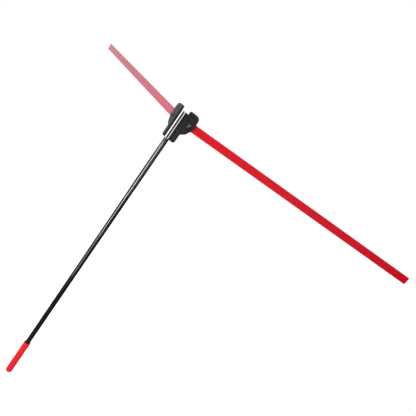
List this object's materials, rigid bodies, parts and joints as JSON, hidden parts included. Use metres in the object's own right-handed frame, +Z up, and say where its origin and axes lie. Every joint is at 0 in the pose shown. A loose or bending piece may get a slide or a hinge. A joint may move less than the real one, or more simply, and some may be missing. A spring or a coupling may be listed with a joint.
{
  "type": "folding cross-arm leveling rod",
  "caption": "Hand-held black rod with a red grip and a V-shaped hinge head whose flat arms fold out level from the rod or down along it.",
  "frame": {"origin": "rounded bottom end of the grip, on the rod's axis", "axes": "+Z up along the rod to the head; +X to the right arm's side; the head's V is the same on both sides of the YZ plane and opens towards +Y"},
  "size_m": [1.5192, 0.4513, 1.0783],
  "materials": {
    "rod_black": "gloss black enamel on steel tube",
    "grip_vinyl": "dipped soft vinyl, satin gloss",
    "plug_plastic": "moulded polyethylene",
    "sleeve_chrome": "bright chrome plate",
    "screw_steel": "zinc-plated steel",
    "head_plastic": "fine-textured moulded nylon",
    "insert_brass": "turned brass",
    "bolt_black": "black oxide, oiled",
    "washer_plastic": "natural acetal",
    "arm_red": "red powder coat over aluminium flat bar",
    "arm_clear_red": "see-through pale red"
  },
  "bodies": {
    "rod": {"shaft_tube": "rod_black", "grip": "grip_vinyl", "shaft_lower_plug": "plug_plastic", "shaft_upper_plug": "plug_plastic", "head_sleeve": "sleeve_chrome", "head_set_screw": "screw_steel", "head_core": "head_plastic", "right_cover": "head_plastic", "right_cover_screws": "screw_steel", "right_cover_inserts": "insert_brass", "right_pivot_bolt": "bolt_black", "right_friction_washers": "washer_plastic", "right_disc_spring": "screw_steel", "right_pivot_nut": "screw_steel", "right_stop_pin": "screw_steel", "left_cover": "head_plastic", "left_cover_screws": "screw_steel", "left_cover_inserts": "insert_brass", "left_pivot_bolt": "bolt_black", "left_friction_washers": "washer_plastic", "left_disc_spring": "screw_steel", "left_pivot_nut": "screw_steel", "left_stop_pin": "screw_steel"},
    "right_arm_body": {"right_arm": "arm_red", "right_arm_bush": "insert_brass"},
    "left_arm_body": {"left_arm": "arm_clear_red", "left_arm_bush": "insert_brass"}
  },
  "joints": [
    {"name": "right_arm_fold", "type": "hinge", "parent": "rod", "child": "right_arm_body", "pos_m": [0.02944, 0.017, 1.04], "axis": [-0.5, 0.866, 0], "range_deg": [0, 90]},
    {"name": "left_arm_fold", "type": "hinge", "parent": "rod", "child": "left_arm_body", "pos_m": [-0.02944, 0.017, 1.04], "axis": [-0.5, -0.866, 0], "range_deg": [0, 90]}
  ]
}
